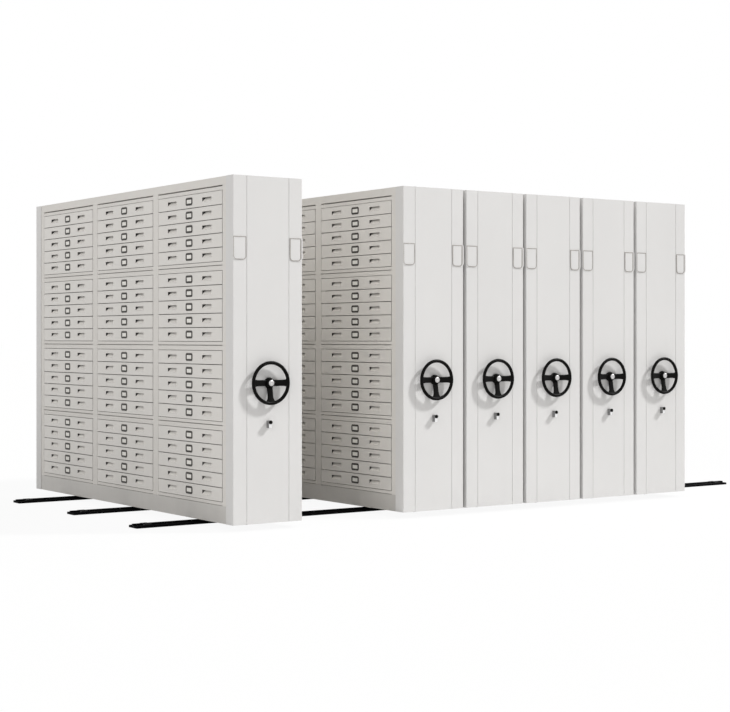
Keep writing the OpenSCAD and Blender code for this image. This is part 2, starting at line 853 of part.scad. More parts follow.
// The cut for one finger pull: deep at the top, with a lip that slopes out to the bottom
module finger_pull() {
    top = (front_h + pull_h) / 2;
    along_y(-pull_w / 2, pull_w / 2) polygon([
        [front_in - over, top], [front_in + pull_depth, top - 2], [front_in - over, top - pull_h]]);
}

// A drawer in its slot: y from its middle, z from the bottom of the slot
module drawer() {
    inner_w = tray_w - 2 * sheet_t;
    back_x = front_in + front_t;
    difference() {
        union() {
            box([front_in, -front_w / 2, front_gap / 2], [back_x, front_w / 2, front_gap / 2 + front_h]);
            box([back_x - eps, -tray_w / 2, tray_lift], [back_x + tray_len, tray_w / 2, tray_lift + tray_h]);
        }
        box([back_x + sheet_t, -inner_w / 2, tray_lift + sheet_t],
            [back_x + tray_len - sheet_t, inner_w / 2, tray_lift + tray_h + over]);
        for (side = [-1, 1]) translate([0, side * pull_off, front_gap / 2]) finger_pull();
    }
}

// A label holder, seated on the drawer front
module label_holder() {
    low = (front_gap + front_h - label_h) / 2;
    face = front_in - seat;
    color("#4a4a48") box([face - label_t, -label_w / 2, low], [face, label_w / 2, low + label_h]);
}

// The top drawer of each unit in the first carriage's front bay slides; every other one is at rest
function slides(i, b, k) = i == 1 && b == 0 && k == unit_drawers - 1;

module each_slot(i) {
    in_carriage(i) for (b = [0 : bays - 1], tier = [0 : tiers - 1], k = [0 : unit_drawers - 1])
        if (!slides(i, b, k)) translate([0, bay_mid(b), slot_z(tier, k)]) children();
}

module drawers(i) {
    color("#d6d4cf") each_slot(i) drawer();
}

module label_holders(i) {
    each_slot(i) label_holder();
}

module sliding_drawer(t) {
    in_carriage(1) translate([0, bay_mid(0), slot_z(t - 1, unit_drawers - 1)]) {
        color("#d6d4cf") drawer();
        label_holder();
    }
}

module carriage_part(part, i) {
    if (part == "undercarriage") undercarriage(i);
    if (part == "drive_axle") drive_axle(i);
    if (part == "idle_wheels") idle_wheels(i);
    if (part == "cabinet") cabinet(i);
    if (part == "end_panels") end_panels(i);
    if (part == "handwheel") handwheel(i);
    if (part == "lock") lock(i);
    if (part == "drawers") drawers(i);
    if (part == "label_holders") label_holders(i);
}

tracks();
end_stops();
for (part = PER_CARRIAGE, i = [1 : CARRIAGES])
    carriage_part(part, i);
for (t = [1 : SLIDING])
    sliding_drawer(t);
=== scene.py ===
"""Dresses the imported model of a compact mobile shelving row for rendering."""

import json
import math

import bmesh
import bpy
from bpy.props import BoolProperty, FloatProperty, FloatVectorProperty, IntProperty, PointerProperty
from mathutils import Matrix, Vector


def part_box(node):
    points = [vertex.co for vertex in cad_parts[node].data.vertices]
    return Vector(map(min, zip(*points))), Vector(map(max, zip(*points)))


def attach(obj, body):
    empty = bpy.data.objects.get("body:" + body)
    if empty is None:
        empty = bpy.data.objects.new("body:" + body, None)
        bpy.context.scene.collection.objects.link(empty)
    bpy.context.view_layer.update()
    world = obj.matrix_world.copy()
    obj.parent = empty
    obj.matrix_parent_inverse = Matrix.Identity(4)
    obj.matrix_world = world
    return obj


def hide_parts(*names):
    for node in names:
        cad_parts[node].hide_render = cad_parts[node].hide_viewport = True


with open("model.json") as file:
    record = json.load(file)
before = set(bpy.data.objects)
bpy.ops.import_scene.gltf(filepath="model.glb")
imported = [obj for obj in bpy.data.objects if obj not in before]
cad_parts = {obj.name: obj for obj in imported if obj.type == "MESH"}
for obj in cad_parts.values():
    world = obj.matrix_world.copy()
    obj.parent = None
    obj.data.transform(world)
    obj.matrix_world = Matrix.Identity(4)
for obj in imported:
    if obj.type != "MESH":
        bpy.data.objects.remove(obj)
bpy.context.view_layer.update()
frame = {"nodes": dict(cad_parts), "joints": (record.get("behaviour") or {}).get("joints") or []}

bl_info = {
    "name": "Compact mobile shelving",
    "version": (1, 0, 0),
    "blender": (4, 5, 0),
    "location": "View3D > Sidebar > Shelving",
    "description": "Handwheels, locks, grips, label frames, finger pulls and finishes of a shelving row",
    "category": "Object",
}

# The row's layout, in metres, as the solids have it
CARRIAGES = range(1, 7)
BAYS, TIERS, DRAWERS = 3, 4, 5
# The top drawer of each tier slides in the first carriage's first bay
SLIDING = range(1, TIERS + 1)
CARRIAGE_WIDTH = 0.550
# From the handwheel's panel to the middle of the first bay, and from bay to bay
FIRST_BAY, BAY_PITCH = 0.618, 1.016
# Up a carriage: the deck, the drawer units on it, and the drawers in a unit
DECK_TOP, UNIT_HEIGHT, BOTTOM_RAIL, DRAWER_PITCH = 0.164, 0.546, 0.026, 0.097
# From a carriage's drawer side to the drawers' faces
FRONT_INSET = 0.004
# A finger pull's opening, and its distance from the drawer's middle
PULL_WIDTH, PULL_OFFSET = 0.130, 0.252
AXLE_HEIGHT, AXLE_INSET = 0.0803, 0.130
PANEL_FOOT = 0.045
TRACK_BASE = 0.017
GRIP_TOP = 1.992
JOINTS = {joint["name"]: joint for joint in frame["joints"]}


def wheel_centre(i):
    """The point where a handwheel's axis meets its panel."""
    return Vector(JOINTS[f"handwheel_{i}_turn"]["pos_m"])


def lock_centre(i):
    """The point where a lock's axis meets its panel."""
    return Vector(JOINTS[f"lock_{i}_turn"]["pos_m"])


def carriage_left(i):
    """The x of a carriage's drawer side."""
    return wheel_centre(i).x - CARRIAGE_WIDTH / 2


def front_x(i):
    """The x of the faces of a carriage's drawers."""
    return carriage_left(i) + FRONT_INSET


def bay_middle(i, bay):
    """The y of the middle of one bay."""
    return wheel_centre(i).y + FIRST_BAY + bay * BAY_PITCH


def drawer_middle(i, bay, tier, k):
    """The middle of one drawer's face."""
    slot_floor = DECK_TOP + tier * UNIT_HEIGHT + BOTTOM_RAIL + k * DRAWER_PITCH
    return Vector((front_x(i), bay_middle(i, bay), slot_floor + DRAWER_PITCH / 2))


def slides(i, bay, k):
    """Whether a drawer is one of the four that slide."""
    return i == 1 and bay == 0 and k == DRAWERS - 1


def fixed_middles(i):
    """The middle of each face in one carriage, without the drawers that slide."""
    return [drawer_middle(i, bay, tier, k) for bay in range(BAYS) for tier in range(TIERS)
            for k in range(DRAWERS) if not slides(i, bay, k)]


def faces_by_body():
    """Each body that has drawer fronts, with the middles of those fronts."""
    rows = {f"carriage_{i}": fixed_middles(i) for i in CARRIAGES}
    rows.update({f"sliding_drawer_{t}": [drawer_middle(1, 0, t - 1, DRAWERS - 1)] for t in SLIDING})
    return rows


class ShelvingFinishes(bpy.types.PropertyGroup):
    """Colours of the paints and plastics."""

    panel: FloatVectorProperty(name="End panels", description="Powder coat of the end panels",
                               subtype="COLOR", size=3, min=0, max=1, default=(0.690, 0.684, 0.676))
    cabinet: FloatVectorProperty(name="Cabinets", description="Powder coat of drawers, posts and skirts",
                                 subtype="COLOR", size=3, min=0, max=1, default=(0.715, 0.695, 0.662))
    black: FloatVectorProperty(name="Black plastic", description="Handwheels and lock knobs",
                               subtype="COLOR", size=3, min=0, max=1, default=(0.0030, 0.0027, 0.0025))
    trim: FloatVectorProperty(name="Trim", description="Label frames and the rims of the edge grips",
                              subtype="COLOR", size=3, min=0, max=1, default=(0.060, 0.056, 0.052))
    track: FloatVectorProperty(name="Tracks", description="Coating of the floor tracks",
                               subtype="COLOR", size=3, min=0, max=1, default=(0.0035, 0.0035, 0.0038))


class ShelvingFurniture(bpy.types.PropertyGroup):
    """Sizes of what is fixed to the drawers and panels."""

    label_width: FloatProperty(name="Label width", description="Width of a label frame",
                               subtype="DISTANCE", min=0.06, max=0.13, default=0.096)
    label_height: FloatProperty(name="Label height", description="Height of a label frame",
                                subtype="DISTANCE", min=0.03, max=0.066, default=0.055)
    label_bar: FloatProperty(name="Label bar", description="Width of a label frame's bars",
                             subtype="DISTANCE", min=0.004, max=0.016, default=0.0140)
    label_corner: FloatProperty(name="Label corner", description="Corner radius along a frame's middle line",
                                subtype="DISTANCE", min=0.002, max=0.015, default=0.007)
    pull_width: FloatProperty(name="Pull width", description="Width of a finger pull's flap",
                              subtype="DISTANCE", min=0.08, max=0.16, default=0.1285)
    pull_offset: FloatProperty(name="Pull offset", description="Distance of a pull from the drawer's middle",
                               subtype="DISTANCE", min=0.18, max=0.28, default=PULL_OFFSET)
    pull_height: FloatProperty(name="Pull height", description="Height of a finger pull's opening",
                               subtype="DISTANCE", min=0.02, max=0.04, default=0.031)
    pull_depth: FloatProperty(name="Pull depth", description="How far a flap reaches behind the drawer face",
                              subtype="DISTANCE", min=0.02, max=0.045, default=0.029)
    screw_sides: IntProperty(name="Screw sides", description="Sides of a screw head, a multiple of six",
                             min=12, max=36, default=18)


class ShelvingHandwheel(bpy.types.PropertyGroup):
    """Sizes of the handwheels."""

    diameter: FloatProperty(name="Diameter", description="Outer diameter of the rim",
                            subtype="DISTANCE", min=0.24, max=0.32, default=0.300)
    rim: FloatProperty(name="Rim", description="Diameter of the rim's own section",
                       subtype="DISTANCE", min=0.018, max=0.030, default=0.024)
    stand_off: FloatProperty(name="Stand-off", description="Distance of the rim's middle from the panel",
                             subtype="DISTANCE", min=0.036, max=0.042, default=0.038)
    cap_off: FloatProperty(name="Cap distance", description="Distance of the cap's face from the panel",
                           subtype="DISTANCE", min=0.048, max=0.070, default=0.050)
    spoke: FloatProperty(name="Spoke", description="Width of a spoke at its middle",
                         subtype="DISTANCE", min=0.024, max=0.050, default=0.042)
    dish: FloatProperty(name="Dish", description="How much nearer the panel a spoke's root is than the rim",
                        subtype="DISTANCE", min=0.006, max=0.022, default=0.022)


class ShelvingStage(bpy.types.PropertyGroup):
    """Light and floor."""

    sky: FloatProperty(name="Sky", description="Strength of the even light from all round", min=0, max=2,
                       default=0.40)
    key: FloatProperty(name="Key", description="Strength of the lamp at the right", min=0, max=6, default=2.6)
    fill: FloatProperty(name="Fill", description="Strength of the lamp beside the camera", min=0, max=6,
                        default=0.76)
    rear: FloatProperty(name="Rear", description="Strength of the lamp behind the row, at the right", min=0,
                        max=6, default=0.2)
    soft: FloatProperty(name="Softness", description="Angle of the key lamp", subtype="ANGLE", min=0.02,
                        max=1.0, default=math.radians(6))
    shadow_on_floor: BoolProperty(name="Floor shadow", description="Whether the floor shows the row's shadow",
                                  default=True)


class Number:
    """A number that varies over a surface, so that shader sums read as arithmetic."""

    def __init__(self, tree, socket):
        self.tree, self.socket = tree, socket

    def maths(self, operation, *others):
        """The result of a Math node on this number and others."""
        values = dict(enumerate((self,) + others))
        return self.tree.number("ShaderNodeMath", {"operation": operation}, values)

    def __add__(self, other):
        return self.maths("ADD", other)

    def __sub__(self, other):
        return self.maths("SUBTRACT", other)

    def __mul__(self, other):
        return self.maths("MULTIPLY", other)

    def __rsub__(self, other):
        return self.tree.number("ShaderNodeMath", {"operation": "SUBTRACT"}, {0: other, 1: self})

    def __lt__(self, other):
        return self.maths("LESS_THAN", other)

    def __gt__(self, other):
        return self.maths("GREATER_THAN", other)

    def __abs__(self):
        return self.maths("ABSOLUTE")

    __radd__, __rmul__ = __add__, __mul__

    def ramp(self, low, high):
        """0 at low, 1 at high and even between them."""
        return self.tree.number("ShaderNodeMapRange", {"clamp": True},
                                {"Value": self, "From Min": low, "From Max": high})

    def either(self, other):
        """1 where this mask or the other one is."""
        return self.maths("MAXIMUM", other)


class Tree:
    """Makes and links the nodes of one material or one geometry tree."""

    def __init__(self, tree):
        self.tree = tree

    def node(self, kind, settings=None, values=None):
        """Makes a node with its settings first, then the values or links of its sockets."""
        made = self.tree.nodes.new(kind)
        for name, value in (settings or {}).items():
            setattr(made, name, value)
        for key, value in (values or {}).items():
            self.feed(made.inputs[key], value)
        return made

    def feed(self, socket, value):
        """Links a socket to a value that varies, or sets it to one that doesn't; None leaves it alone."""
        if isinstance(value, Number):
            value = value.socket
        if isinstance(value, bpy.types.NodeSocket):
            self.tree.links.new(value, socket)
        elif value is not None:
            socket.default_value = value

    def number(self, kind, settings=None, values=None):
        """The first output of a new node, as a number."""
        return Number(self, self.node(kind, settings, values).outputs[0])

    def mix(self, amount, first, second):
        """The first colour where amount is 0, and the second where it is 1."""
        first, second = (colour if isinstance(colour, bpy.types.NodeSocket) else (*colour, 1.0)
                         for colour in (first, second))
        return self.node("ShaderNodeMix", {"data_type": "RGBA"}, {0: amount, 6: first, 7: second}).outputs[2]


class Finish(Tree):
    """One material: a Principled shader and what varies over it."""

    def __init__(self, name):
        self.material = bpy.data.materials.new(name)
        self.material.use_nodes = True
        super().__init__(self.material.node_tree)
        self.tree.nodes.clear()
        self.shader = self.node("ShaderNodeBsdfPrincipled")
        self.node("ShaderNodeOutputMaterial", None, {"Surface": self.shader.outputs[0]})
        self.place = self.node("ShaderNodeTexCoord").outputs["Object"]

    def at(self, centre=(0, 0, 0)):
        """The x, y and z of the surface from a centre, in metres."""
        moved = self.node("ShaderNodeMapping", None, {"Vector": self.place,
                                                      "Location": tuple(-c for c in centre)})
        parts = self.node("ShaderNodeSeparateXYZ", None, {0: moved.outputs[0]})
        return [Number(self, socket) for socket in parts.outputs]

    def noise(self, scale, detail, roughness, stretch=None):
        """A cloudy pattern of about scale patches to the metre, drawn out where stretch is below 1."""
        vector = self.place
        if stretch:
            vector = self.node("ShaderNodeMapping", None, {"Vector": vector, "Scale": stretch}).outputs[0]
        return self.number("ShaderNodeTexNoise", None, {"Vector": vector, "Scale": scale, "Detail": detail,
                                                        "Roughness": roughness})

    def bump(self, height, distance, strength):
        """A normal that follows a pattern as if it were distance high."""
        return self.node("ShaderNodeBump", None, {"Height": height, "Distance": distance,
                                                  "Strength": strength}).outputs[0]

    def set(self, **values):
        """Feeds the shader's sockets and gives the finished material."""
        for name, value in values.items():
            self.feed(self.shader.inputs[name.replace("_", " ")], value)
        return self.material


def shade(colour, factor):
    """A colour made lighter or darker."""
    return tuple(min(1.0, c * factor) for c in colour)


def grey(level):
    """A colour without a hue."""
    return (level, level, level)


def from_axis(a, b):
    """The distance from an axis, given the two distances across it."""
    return (a * a + b * b).maths("SQRT")


def coat_paint(finish, colour, grime=0.0):
    """Powder coat: faint cloudiness, orange peel, and a little dust that settles low down."""
    dust_top = 0.30
    cloud = finish.noise(1.7, 4.0, 0.55)
    speck = finish.noise(420.0, 2.0, 0.6).ramp(0.62, 0.78)
    base = finish.mix(cloud.ramp(0.3, 0.7), shade(colour, 0.985), shade(colour, 1.012))
    base = finish.mix(speck * 0.06, base, shade(colour, 0.80))
    if grime:
        height = finish.at()[2]
        patch = finish.noise(9.0, 5.0, 0.6, (1, 1, 0.35)).ramp(0.35, 0.75)
        dust = (1 - height.ramp(PANEL_FOOT, dust_top)) * patch
        base = finish.mix(dust * grime, base, shade(colour, 0.72))
    peel = finish.bump(finish.noise(650.0, 1.0, 0.4), 0.0003, 0.10)
    return base, cloud.ramp(0.25, 0.75) * 0.06 + 0.40, peel


def panel_paint(name, colour, wheel, lock):
    """The end panels' coat, with the black bearing ring, the lock's cast case and plated face, and painted
    shade in the hollow between the skins.
    """
    # The ring and the case go through the front skin, and the hollow between the skins gets painted shade
    ring_radius, skin_back = 0.034, 0.013
    hollow_front, hollow_back, hollow_side = 0.010, 0.0948, 0.2515
    case_side, case_end, case_drop, case_front = 0.0112, 0.0252, 0.014, -0.0306
    black, cast = grey(0.016), grey(0.20)
    finish = Finish(name)
    base, rough, peel = coat_paint(finish, colour, 0.10)
    x, y, z = finish.at(wheel)
    ring = (from_axis(x, z) < ring_radius) * (y < skin_back)
    hollow_shade = (y > hollow_front) * (y < hollow_back) * (abs(x) < hollow_side)
    x, y, z = finish.at(lock)
    case = (abs(x) < case_side) * (abs(z + case_drop) < case_end) * (y < skin_back)
    face = case * (y < case_front)
    brushed = finish.noise(900.0, 2.0, 0.6, (1, 1, 0.08)).ramp(0.3, 0.7)
    plated = finish.mix(brushed, grey(0.80), grey(0.88))
    base = finish.mix(ring, base, black)
    base = finish.mix(case, base, cast)
    base = finish.mix(face, base, plated)
    # Painted shade: the hollow between the skins is darkened, standing in for the shade inside it
    base = finish.mix(hollow_shade * 0.4, base, shade(colour, 0.7))
    return finish.set(Base_Color=base, Metallic=face, Roughness=rough + 0.10 - face * 0.26, Normal=peel,
                      Specular_IOR_Level=0.22)


def cabinet_paint(name, colour, grime=0.12):
    """The coat of posts and units, of the flaps in the finger pulls and of the grips' pads."""
    finish = Finish(name)
    base, rough, peel = coat_paint(finish, colour, grime)
    return finish.set(Base_Color=base, Roughness=rough + 0.14, Normal=peel, Specular_IOR_Level=0.18)


def drawer_finish(name, colour, face, bays):
    """The coat of drawers, with painted shade on the edges behind the face and near-black painted shade at
    the ends of the finger pulls.
    """
    edge_front, edge_back, jamb_reach = 0.0008, 0.0119, 0.0012
    finish = Finish(name)
    base, rough, peel = coat_paint(finish, colour)
    x, y, _ = finish.at((face, 0, 0))
    edge = (x > edge_front) * (x < edge_back)
    pull_end_shade = sum(abs(abs(abs(y - middle) - PULL_OFFSET) - PULL_WIDTH / 2) < jamb_reach for middle in bays)
    # Painted shade: the edges behind the face are darkened, standing in for the shade in the gaps round the
    # drawer fronts
    base = finish.mix(edge, base, shade(colour, 0.62))
    # Painted shade: the ends of the finger pulls' openings are near black, standing in for the shade in the
    # recesses
    base = finish.mix(edge * pull_end_shade, base, grey(0.05))
    return finish.set(Base_Color=base, Roughness=rough, Normal=peel)


def undercarriage_finish(name, colour, centre):
    """A coat of the given colour on skirts and deck (the caller passes the cabinet's colour made darker), a
    darker frame, bronze bushes, rubber buffers, oiled chain.
    """
    half = CARRIAGE_WIDTH / 2
    skirt_depth, deck_depth, buffer_depth = 0.0075, 0.0022, 0.00485
    bush_radius, last_bush = 0.0183, 1.2
    chain_front, chain_back, chain_inset = 0.034, 0.061, 0.012
    bronze, oiled, rubber = (0.36, 0.22, 0.09), (0.13, 0.125, 0.12), grey(0.018)
    finish = Finish(name)
    base, rough, peel = coat_paint(finish, colour, 0.28)
    x, y, z = finish.at(centre)
    sheet = (abs(x) > half - skirt_depth).either(z > DECK_TOP - deck_depth)
    buffer = x > half - buffer_depth
    bush = (from_axis(abs(x) - (half - AXLE_INSET), z - AXLE_HEIGHT) < bush_radius) * (y < last_bush)
    chain = (y > chain_front) * (y < chain_back) * (abs(x) < half - chain_inset)
    scratch = finish.noise(60.0, 4.0, 0.65, (1, 0.2, 1)).ramp(0.4, 0.75)
    steel = finish.mix(scratch, (0.085, 0.088, 0.092), (0.125, 0.128, 0.132))
    base = finish.mix(sheet, steel, base)
    for mask, tone in ((bush, bronze), (chain, oiled), (buffer, rubber)):
        base = finish.mix(mask, base, tone)
    bare = bush.either(chain) * (1 - buffer)
    return finish.set(Base_Color=base, Metallic=bare, Roughness=rough + buffer * 0.25 - bare * 0.06,
                      Normal=peel)


def turned_steel(name):
    """Turned steel with fine rings, duller and darker where it is stained."""
    finish = Finish(name)
    rings = finish.noise(1500.0, 2.0, 0.6, (1, 0.04, 1))
    stain = finish.noise(35.0, 4.0, 0.6)
    base = finish.mix(rings.ramp(0.3, 0.7), (0.40, 0.405, 0.41), (0.52, 0.52, 0.525))
    base = finish.mix(stain.ramp(0.55, 0.8) * 0.45, base, (0.24, 0.22, 0.20))
    return finish.set(Base_Color=base, Metallic=1.0, Roughness=stain.ramp(0.3, 0.8) * 0.22 + 0.26,
                      Normal=finish.bump(rings, 0.0002, 0.2))


def track_finish(colour):
    """Black coated steel, rubbed smoother on the running bar's top."""
    near_bar_top = 0.0274
    finish = Finish("track coat")
    height = finish.at()[2]
    grain = finish.noise(240.0, 4.0, 0.6, (0.25, 1, 1))
    rub = (height > near_bar_top) * finish.noise(14.0, 4.0, 0.7, (0.15, 1, 1)).ramp(0.30, 0.75)
    base = finish.mix(grain.ramp(0.3, 0.75), colour, shade(colour, 1.9))
    base = finish.mix(rub * 0.45, base, (0.020, 0.020, 0.021))
    return finish.set(Base_Color=base, Roughness=0.55 - rub * 0.12, Normal=finish.bump(grain, 0.0003, 0.25),
                      Specular_IOR_Level=0.01)


def moulded_plastic(name, colour, rough, grain=900.0, gloss=0.10):
    """Moulded plastic with a fine even grain and faint wear."""
    finish = Finish(name)
    texture = finish.noise(grain, 2.0, 0.55)
    worn = finish.noise(24.0, 4.0, 0.6)
    base = finish.mix(worn.ramp(0.45, 0.8), colour, shade(colour, 1.45))
    return finish.set(Base_Color=base, Roughness=worn.ramp(0.3, 0.8) * 0.12 + (rough - 0.05),
                      Normal=finish.bump(texture, 0.0002, 0.22), Specular_IOR_Level=gloss)


def bright_metal(name, colour, rough):
    """Plated metal with light polishing marks."""
    finish = Finish(name)
    marks = finish.noise(700.0, 3.0, 0.6, (1, 0.1, 1))
    base = finish.mix(marks.ramp(0.35, 0.7), shade(colour, 0.93), colour)
    return finish.set(Base_Color=base, Metallic=1.0, Roughness=marks.ramp(0.3, 0.8) * 0.10 + rough,
                      Normal=finish.bump(marks, 0.0001, 0.12))


def card_paper():
    """Blank index cards, each a little different, slightly yellowed."""
    finish = Finish("index card")
    tone = finish.noise(3.1, 1.0, 0.5)
    fibre = finish.noise(800.0, 3.0, 0.65)
    base = finish.mix(tone.ramp(0.35, 0.65), (0.80, 0.79, 0.75), (0.88, 0.865, 0.82))
    base = finish.mix(fibre.ramp(0.5, 0.8) * 0.18, base, (0.58, 0.55, 0.49))
    return finish.set(Base_Color=base, Roughness=0.72, Normal=finish.bump(fibre, 0.0002, 0.15))


def new_piece(name, mesh, body, material=None, smooth=35.0):
    """Links a mesh as one piece that rides a body; edges of more than smooth degrees stay sharp."""
    piece = bpy.data.objects.new(name, mesh)
    bpy.context.scene.collection.objects.link(piece)
    if material:
        mesh.materials.clear()
        mesh.materials.append(material)
    if smooth:
        mesh.shade_smooth()
        mesh.set_sharp_from_angle(angle=math.radians(smooth))
    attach(piece, body)
    return piece


def mesh_from(name, build, *details):
    """A mesh that build fills, with doubles merged and all faces turned outwards."""
    shape = bmesh.new()
    build(shape, *details)
    bmesh.ops.remove_doubles(shape, verts=shape.verts, dist=1e-6)
    bmesh.ops.recalc_face_normals(shape, faces=shape.faces)
    mesh = bpy.data.meshes.new(name)
    shape.to_mesh(mesh)
    shape.free()
    return mesh


def turns(steps):
    """The angles of even steps round a circle."""
    return [2 * math.pi * k / steps for k in range(steps)]


def join_rings(shape, rings, closed=False):
    """Joins each ring of points to the next with quads, and where closed the last one to the first."""
    rows = [[shape.verts.new(point) for point in ring] for ring in rings]
    for row, following in zip(rows, rows[1:] + (rows[:1] if closed else [])):
        for k in range(len(row)):
            shape.faces.new((row[k - 1], row[k], following[k], following[k - 1]))
    return rows


def solid_from_rings(shape, rings, closed=False):
    """A solid from rings of points: a closed loop of them, or a row with a flat face at both ends."""
    rows = join_rings(shape, rings, closed)
    if not closed:
        shape.faces.new(rows[0])
        shape.faces.new(rows[-1])


def lathe(shape, profile, steps, centre):
    """Turns a profile of (radius, distance from the panel) round the y axis; its ends lie on the axis."""
    rings = [[centre + Vector((radius * math.cos(turn), -off, radius * math.sin(turn)))
              for turn in turns(steps)] for radius, off in profile[1:-1]]
    rows = join_rings(shape, rings)
    for row, (_, off) in ((rows[0], profile[0]), (rows[-1], profile[-1])):
        tip = shape.verts.new(centre + Vector((0, -off, 0)))
        for k in range(steps):
            shape.faces.new((row[k - 1], row[k], tip))


def rounded_section(width, depth, edge):
    """The points of a rectangle with rounded corners."""
    steps = 3
    points = []
    for n, (sx, sy) in enumerate(((1, 1), (-1, 1), (-1, -1), (1, -1))):
        for k in range(steps + 1):
            angle = math.pi / 2 * (n + k / steps)
            points.append((sx * (width / 2 - edge) + edge * math.cos(angle),
                           sy * (depth / 2 - edge) + edge * math.sin(angle)))
    return points


def settled(name, places, group, inputs):
    """Runs a geometry tree on a point at each place and returns its result as a plain mesh."""
    seeds = bpy.data.meshes.new(name)
    seeds.from_pydata([tuple(place) for place in places], [], [])
    holder = bpy.data.objects.new(name, seeds)
    bpy.context.scene.collection.objects.link(holder)
    modifier = holder.modifiers.new(name, "NODES")
    modifier.node_group = group
    sockets = {item.name: item.identifier for item in group.interface.items_tree if item.in_out == "INPUT"}
    for label, value in inputs.items():
        modifier[sockets[label]] = value
    bpy.context.view_layer.update()
    ready = holder.evaluated_get(bpy.context.evaluated_depsgraph_get())
    mesh = bpy.data.meshes.new_from_object(ready)
    holder.modifiers.clear()
    bpy.data.objects.remove(holder)
    return mesh


def geometry_group(name, inputs):
    """A geometry tree that takes points and the named inputs, with what its input node gives."""
    group = bpy.data.node_groups.new(name, "GeometryNodeTree")
    group.interface.new_socket("Geometry", in_out="OUTPUT", socket_type="NodeSocketGeometry")
    group.interface.new_socket("Geometry", in_out="INPUT", socket_type="NodeSocketGeometry")
    for label, kind in inputs:
        group.interface.new_socket(label, in_out="INPUT", socket_type="NodeSocket" + kind)
    tree = Tree(group)
    return group, tree, tree.node("NodeGroupInput").outputs


def place_and_finish(tree, given, instance, turn=None):
    """Ends a tree: puts the instance on every point, realizes it and gives it the material."""
    spread = tree.node("GeometryNodeInstanceOnPoints", None, {
        "Points": given["Geometry"], "Instance": instance, "Rotation": turn})
    real = tree.node("GeometryNodeRealizeInstances", None, {"Geometry": spread.outputs[0]})
    coated = tree.node("GeometryNodeSetMaterial", None, {
        "Geometry": real.outputs[0], "Material": given["Material"]})
    tree.node("NodeGroupOutput", None, {"Geometry": coated.outputs[0]})


def frame_group():
    """Rounded frames that stand in the plane of the drawer fronts, one on each point."""
    group, tree, given = geometry_group("label frames", (
        ("Width", "Float"), ("Height", "Float"), ("Bar", "Float"), ("Thickness", "Float"),
        ("Corner", "Float"), ("Material", "Material")))
    # An octagon of this radius is one unit wide across its flats
    sides, unit_radius = 8, 0.5413
    bar = given["Bar"]
    line = tree.node("GeometryNodeCurvePrimitiveQuadrilateral", None, {
        "Width": Number(tree, given["Width"]) - bar, "Height": Number(tree, given["Height"]) - bar})
    curved = tree.node("GeometryNodeFilletCurve", {"mode": "POLY"}, {
        "Curve": line.outputs[0], "Count": 2, "Radius": given["Corner"]})
    section = tree.node("GeometryNodeCurvePrimitiveCircle", None, {
        "Resolution": sides, "Radius": unit_radius})
    spread = tree.node("ShaderNodeCombineXYZ", None, {"X": bar, "Y": given["Thickness"], "Z": 1.0})
    turned = tree.node("GeometryNodeTransform", None, {
        "Geometry": section.outputs[0], "Rotation": (0, 0, math.pi / sides)})
    scaled = tree.node("GeometryNodeTransform", None, {
        "Geometry": turned.outputs[0], "Scale": spread.outputs[0]})
    swept = tree.node("GeometryNodeCurveToMesh", None, {
        "Curve": curved.outputs[0], "Profile Curve": scaled.outputs[0]})
    upright = tree.node("GeometryNodeTransform", None, {
        "Geometry": swept.outputs[0], "Rotation": (math.pi / 2, 0, math.pi / 2)})
    place_and_finish(tree, given, upright.outputs[0])
    return group


def plate_group():
    """Flat plates turned about the y axis, one on each point."""
    group, tree, given = geometry_group("plates", (
        ("Size", "Vector"), ("Tilt", "Float"), ("Material", "Material")))
    plate = tree.node("GeometryNodeMeshCube", None, {"Size": given["Size"]})
    turn = tree.node("ShaderNodeCombineXYZ", None, {"Y": given["Tilt"]})
    tilted = tree.node("GeometryNodeTransform", None, {
        "Geometry": plate.outputs[0], "Rotation": turn.outputs[0]})
    place_and_finish(tree, given, tilted.outputs[0])
    return group


def screw_group(screw):
    """Copies of one screw, one on each point, each turned by its own amount about the z axis."""
    group, tree, given = geometry_group("screws", (("Seed", "Int"), ("Material", "Material")))
    source = tree.node("GeometryNodeObjectInfo", None, {"Object": screw})
    turn = tree.node("FunctionNodeRandomValue", {"data_type": "FLOAT_VECTOR"}, {
        0: (0, 0, 0), 1: (0, 0, math.pi), "Seed": given["Seed"]})
    place_and_finish(tree, given, source.outputs["Geometry"], turn.outputs[0])
    return group


def part_of_node(node, axis, beyond, name):
    """A copy of those solids of a CAD node that reach past a place on an axis, with doubles merged."""
    shape = bmesh.new()
    shape.from_mesh(frame["nodes"][node].data)
    bmesh.ops.remove_doubles(shape, verts=shape.verts, dist=1e-7)
    seen, gone = set(), []
    for start in shape.verts:
        if start in seen:
            continue
        solid, waiting = [], [start]
        seen.add(start)
        while waiting:
            vert = waiting.pop()
            solid.append(vert)
            fresh = {link.other_vert(vert) for link in vert.link_edges} - seen
            seen |= fresh
            waiting.extend(fresh)
        if max(getattr(vert.co, axis) for vert in solid) <= beyond:
            gone += solid
    bmesh.ops.delete(shape, geom=gone, context="VERTS")
    mesh = bpy.data.meshes.new(name)
    shape.to_mesh(mesh)
    shape.free()
    return mesh


def dress(node, material):
    """Gives a CAD node its finish."""
    mesh = frame["nodes"][node].data
    if not mesh.materials:
        mesh.materials.append(material)
    for k in range(len(mesh.materials)):
        mesh.materials[k] = material


